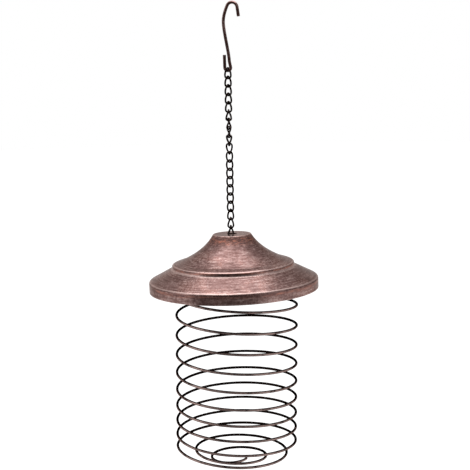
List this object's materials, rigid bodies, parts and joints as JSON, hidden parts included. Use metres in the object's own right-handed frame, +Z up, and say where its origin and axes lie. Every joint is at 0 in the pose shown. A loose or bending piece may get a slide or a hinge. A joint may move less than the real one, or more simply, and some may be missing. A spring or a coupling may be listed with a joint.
{
  "type": "suet feeder",
  "caption": "Hanging suet feeder: a wire coil cage under a pressed round roof that slides up its hanging chain, with a wire hook.",
  "frame": {"origin": "where the inside of the hook's crown rests on what it hangs from", "axes": "+Z up along the chain, which hangs beside the crown as in the picture; +X to the right and +Y away from the camera"},
  "size_m": [0.1666, 0.1666, 0.4533],
  "materials": {
    "roof_sheet": "antiqued copper, brushed",
    "cage_wire": "dark antiqued copper",
    "chain_wire": "dark brown",
    "hook_wire": "dark reddish brown"
  },
  "bodies": {
    "hanger_hook": {"hanger_hook": "hook_wire"},
    "chain_link_01": {"chain_link_01": "chain_wire"},
    "chain_link_02": {"chain_link_02": "chain_wire"},
    "chain_link_03": {"chain_link_03": "chain_wire"},
    "chain_link_04": {"chain_link_04": "chain_wire"},
    "chain_link_05": {"chain_link_05": "chain_wire"},
    "chain_link_06": {"chain_link_06": "chain_wire"},
    "chain_link_07": {"chain_link_07": "chain_wire"},
    "chain_link_08": {"chain_link_08": "chain_wire"},
    "chain_link_09": {"chain_link_09": "chain_wire"},
    "chain_link_10": {"chain_link_10": "chain_wire"},
    "chain_link_11": {"chain_link_11": "chain_wire"},
    "chain_link_12": {"chain_link_12": "chain_wire"},
    "chain_link_13": {"chain_link_13": "chain_wire"},
    "chain_link_14": {"chain_link_14": "chain_wire"},
    "chain_link_15": {"chain_link_15": "chain_wire"},
    "chain_link_16": {"chain_link_16": "chain_wire"},
    "chain_link_17": {"chain_link_17": "chain_wire"},
    "chain_link_18": {"chain_link_18": "chain_wire"},
    "chain_link_19": {"chain_link_19": "chain_wire"},
    "chain_link_20": {"chain_link_20": "chain_wire"},
    "cage": {"bail": "cage_wire", "coil": "cage_wire"},
    "roof": {"roof": "roof_sheet"}
  },
  "joints": [
    {"name": "chain_on_hook", "type": "hinge", "parent": "hanger_hook", "child": "chain_link_01", "pos_m": [-0.00498, 0.00181, -0.0627], "axis": [0.9397, -0.342, 0], "range_deg": [-20, 20]},
    {"name": "link_02_on_link_01", "type": "hinge", "parent": "chain_link_01", "child": "chain_link_02", "pos_m": [-0.00498, 0.00181, -0.06909], "axis": [0, 1, 0], "range_deg": [-20, 20]},
    {"name": "link_03_on_link_02", "type": "hinge", "parent": "chain_link_02", "child": "chain_link_03", "pos_m": [-0.00498, 0.00181, -0.07713], "axis": [1, 0, 0], "range_deg": [-20, 20]},
    {"name": "link_04_on_link_03", "type": "hinge", "parent": "chain_link_03", "child": "chain_link_04", "pos_m": [-0.00498, 0.00181, -0.08517], "axis": [0, -1, 0], "range_deg": [-20, 20]},
    {"name": "link_05_on_link_04", "type": "hinge", "parent": "chain_link_04", "child": "chain_link_05", "pos_m": [-0.00498, 0.00181, -0.09321], "axis": [-1, 0, 0], "range_deg": [-20, 20]},
    {"name": "link_06_on_link_05", "type": "hinge", "parent": "chain_link_05", "child": "chain_link_06", "pos_m": [-0.00498, 0.00181, -0.10125], "axis": [0, 1, 0], "range_deg": [-20, 20]},
    {"name": "link_07_on_link_06", "type": "hinge", "parent": "chain_link_06", "child": "chain_link_07", "pos_m": [-0.00498, 0.00181, -0.10929], "axis": [1, 0, 0], "range_deg": [-20, 20]},
    {"name": "link_08_on_link_07", "type": "hinge", "parent": "chain_link_07", "child": "chain_link_08", "pos_m": [-0.00498, 0.00181, -0.11733], "axis": [0, -1, 0], "range_deg": [-20, 20]},
    {"name": "link_09_on_link_08", "type": "hinge", "parent": "chain_link_08", "child": "chain_link_09", "pos_m": [-0.00498, 0.00181, -0.12537], "axis": [-1, 0, 0], "range_deg": [-20, 20]},
    {"name": "link_10_on_link_09", "type": "hinge", "parent": "chain_link_09", "child": "chain_link_10", "pos_m": [-0.00498, 0.00181, -0.13341], "axis": [0, 1, 0], "range_deg": [-20, 20]},
    {"name": "link_11_on_link_10", "type": "hinge", "parent": "chain_link_10", "child": "chain_link_11", "pos_m": [-0.00498, 0.00181, -0.14145], "axis": [1, 0, 0], "range_deg": [-20, 20]},
    {"name": "link_12_on_link_11", "type": "hinge", "parent": "chain_link_11", "child": "chain_link_12", "pos_m": [-0.00498, 0.00181, -0.14949], "axis": [0, -1, 0], "range_deg": [-20, 20]},
    {"name": "link_13_on_link_12", "type": "hinge", "parent": "chain_link_12", "child": "chain_link_13", "pos_m": [-0.00498, 0.00181, -0.15753], "axis": [-1, 0, 0], "range_deg": [-20, 20]},
    {"name": "link_14_on_link_13", "type": "hinge", "parent": "chain_link_13", "child": "chain_link_14", "pos_m": [-0.00498, 0.00181, -0.16557], "axis": [0, 1, 0], "range_deg": [-20, 20]},
    {"name": "link_15_on_link_14", "type": "hinge", "parent": "chain_link_14", "child": "chain_link_15", "pos_m": [-0.00498, 0.00181, -0.17361], "axis": [1, 0, 0], "range_deg": [-20, 20]},
    {"name": "link_16_on_link_15", "type": "hinge", "parent": "chain_link_15", "child": "chain_link_16", "pos_m": [-0.00498, 0.00181, -0.18165], "axis": [0, -1, 0], "range_deg": [-20, 20]},
    {"name": "link_17_on_link_16", "type": "hinge", "parent": "chain_link_16", "child": "chain_link_17", "pos_m": [-0.00498, 0.00181, -0.18969], "axis": [-1, 0, 0], "range_deg": [-20, 20]},
    {"name": "link_18_on_link_17", "type": "hinge", "parent": "chain_link_17", "child": "chain_link_18", "pos_m": [-0.00498, 0.00181, -0.19773], "axis": [0, 1, 0], "range_deg": [-20, 20]},
    {"name": "link_19_on_link_18", "type": "hinge", "parent": "chain_link_18", "child": "chain_link_19", "pos_m": [-0.00498, 0.00181, -0.20577], "axis": [1, 0, 0], "range_deg": [-20, 20]},
    {"name": "link_20_on_link_19", "type": "hinge", "parent": "chain_link_19", "child": "chain_link_20", "pos_m": [-0.00498, 0.00181, -0.21381], "axis": [0, -1, 0], "range_deg": [-20, 20]},
    {"name": "cage_on_chain", "type": "hinge", "parent": "chain_link_20", "child": "cage", "pos_m": [-0.00498, 0.00181, -0.2218], "axis": [-0.7071, 0.7071, 0], "range_deg": [-14, 14]},
    {"name": "roof_lift", "type": "slide", "parent": "cage", "child": "roof", "axis": [0, 0, 1], "range_m": [0, 0.122]}
  ]
}
